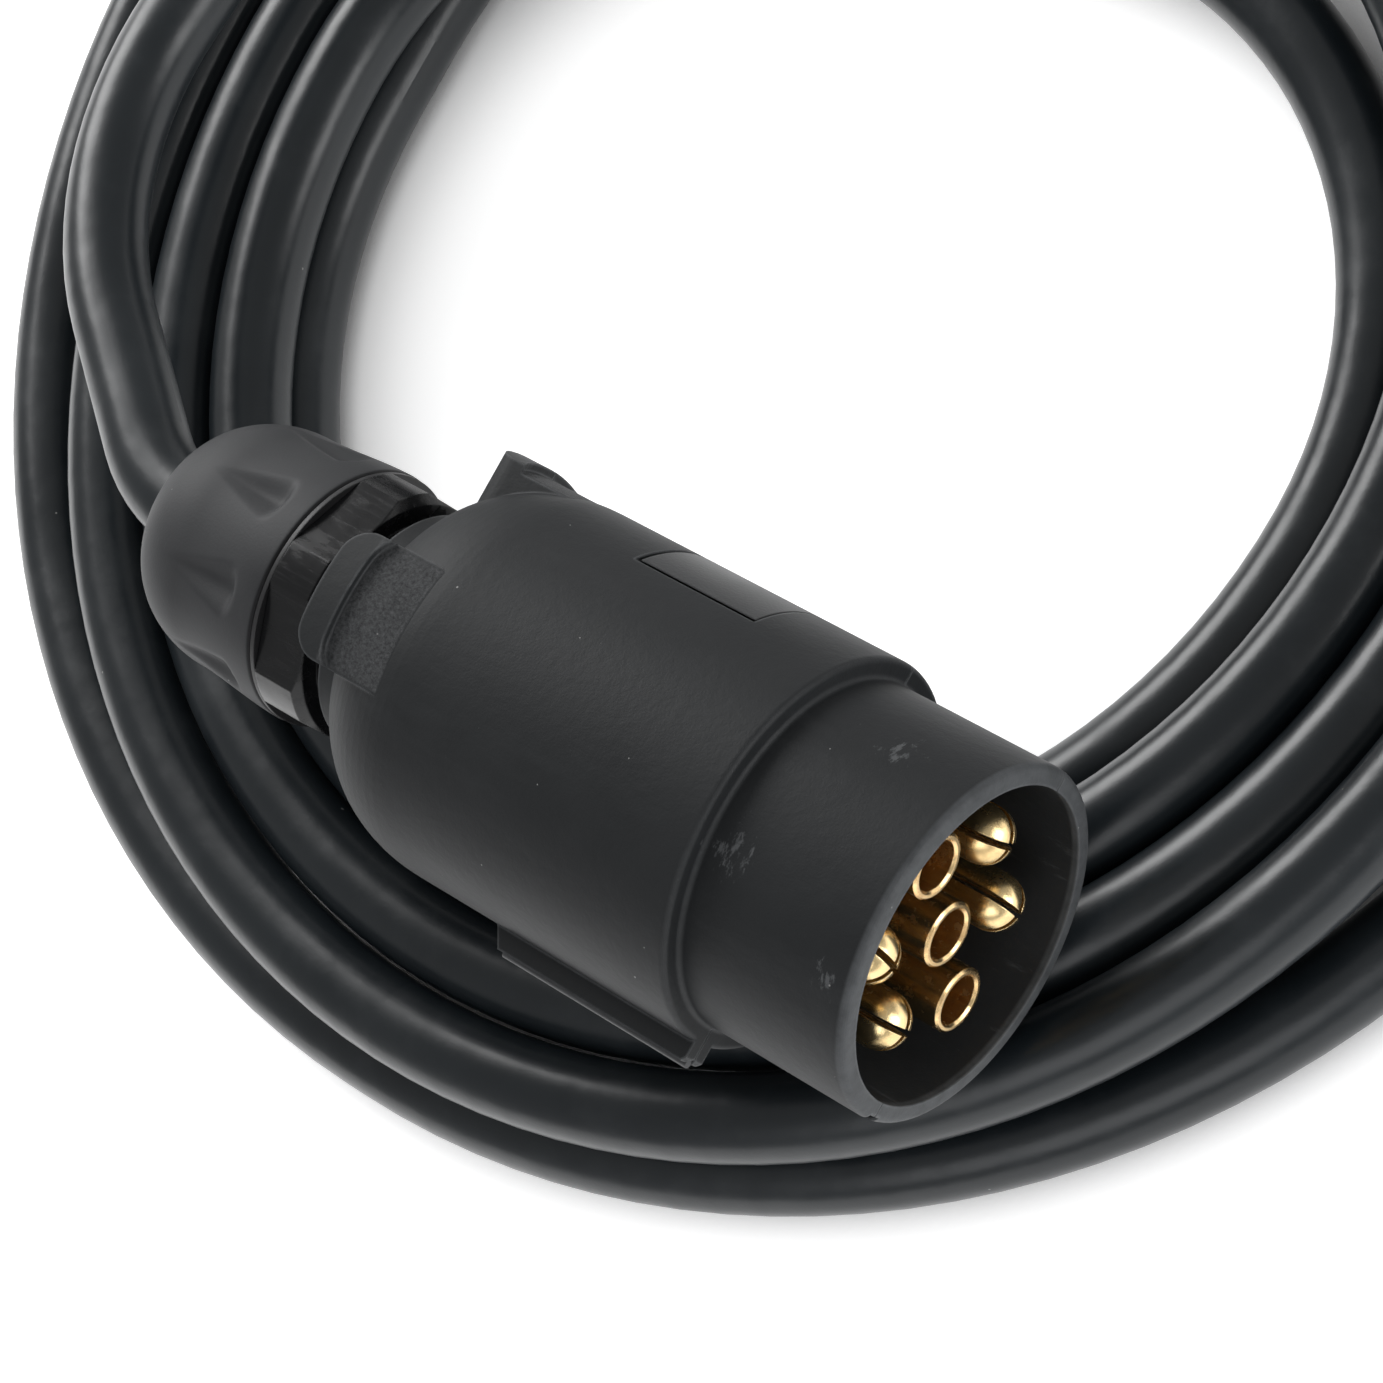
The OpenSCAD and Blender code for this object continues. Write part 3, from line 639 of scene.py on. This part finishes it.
def add_wire(bm, start, axes, off_axis, turned, reach, wire, twist):
    """One closed wire that winds about a bundle's axis, by twist radians a metre."""
    steps, around = 8, 6
    axis, side, up = axes
    loops = []
    for i in range(steps + 1):
        along = reach * i / steps
        angle = turned + twist * along
        centre = start + axis * along + (side * math.cos(angle) + up * math.sin(angle)) * off_axis
        loops.append([bm.verts.new(centre + (side * math.cos(a) + up * math.sin(a)) * wire)
                      for a in (2 * math.pi * j / around for j in range(around))])
    for a, b in zip(loops, loops[1:]):
        for j in range(around):
            bm.faces.new((a[j], a[(j + 1) % around], b[(j + 1) % around], b[j]))
    bm.faces.new(loops[0])
    bm.faces.new(loops[-1])


def build_strands(material):
    """Bundles of fine wires in place of the plain copper rods."""
    bm = bmesh.new()
    rng = random.Random(7)
    for n, (start, end, radius) in enumerate(loose_parts("core_strands")):
        strand_bundle(bm, start, end, radius, 0.4 * n, rng)
    wires = new_piece("copper_strands", bm, material, "base")
    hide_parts("core_strands")


# ---- Stage ----

def add_floor():
    """A wide pale floor at the object's lowest point."""
    low, _ = CAD_BOX
    half_width = 4.0
    bm = bmesh.new()
    bmesh.ops.create_grid(bm, x_segments=8, y_segments=8, size=half_width)
    mesh = bpy.data.meshes.new("floor")
    bm.to_mesh(mesh)
    bm.free()
    floor = bpy.data.objects.new("floor", mesh)
    floor.location = (0, 0, low[2])
    bpy.context.scene.collection.objects.link(floor)
    wear(floor, floor_material())


def add_softbox(name, aim, direction, distance, width, height, power, tint=(1, 1, 1)):
    """A rectangular light that faces aim from the given direction."""
    data = bpy.data.lights.new(name, "AREA")
    data.shape = "RECTANGLE"
    data.size, data.size_y = width, height
    data.energy = power
    data.color = tint
    light = bpy.data.objects.new(name, data)
    way = Vector(direction).normalized()
    light.location = Vector(aim) + way * distance
    light.rotation_euler = way.to_track_quat("Z", "Y").to_euler()
    bpy.context.scene.collection.objects.link(light)


def add_world():
    """An even white surround."""
    world = bpy.data.worlds.new("studio")
    world.use_nodes = True
    background = world.node_tree.nodes["Background"]
    background.inputs["Color"].default_value = (1, 1, 1, 1)
    background.inputs["Strength"].default_value = 0.42
    bpy.context.scene.world = world


def light_scene():
    """Key light behind the gland, soft fill from the hinge side, and a light that shines into the mouth."""
    middle = (-60 * MM, 40 * MM, -20 * MM)
    add_softbox("key", middle, (-1.15, 0.45, 0.7), 0.9, 0.55, 0.45, 7.5)
    add_softbox("fill", middle, (0.6, -0.9, 0.75), 1.0, 0.7, 0.5, 2.2, tint=(0.97, 0.98, 1.0))
    add_softbox("front", middle, (1.3, 0.35, 0.25), 1.0, 0.5, 0.5, 5.0)
    add_world()
    bpy.context.scene.view_settings.view_transform = "Standard"


def add_camera():
    """The viewing angle: in front of the mouth and above, rolled so that the plug lies across the frame."""
    place = (0.1718, 0.0, 0.3454)
    right = Vector((0.7484, 0.4892, -0.4477)).normalized()
    back = Vector((0.5234, -0.0211, 0.8518))
    back = (back - right * back.dot(right)).normalized()
    up = back.cross(right)
    data = bpy.data.cameras.new("camera")
    data.sensor_width, data.lens = 36.0, 106.89
    data.clip_start, data.clip_end = 0.01, 20.0
    camera = bpy.data.objects.new("camera", data)
    rotation = Matrix((right, up, back)).transposed().to_4x4()
    camera.matrix_world = Matrix.Translation(place) @ rotation
    bpy.context.scene.collection.objects.link(camera)
    bpy.context.scene.camera = camera


# ---- Build ----

worn = make_materials()
dress_frame(worn)
build_nut(worn["gland_nut"])
build_strands(worn["core_strands"])
add_floor()
light_scene()
add_camera()
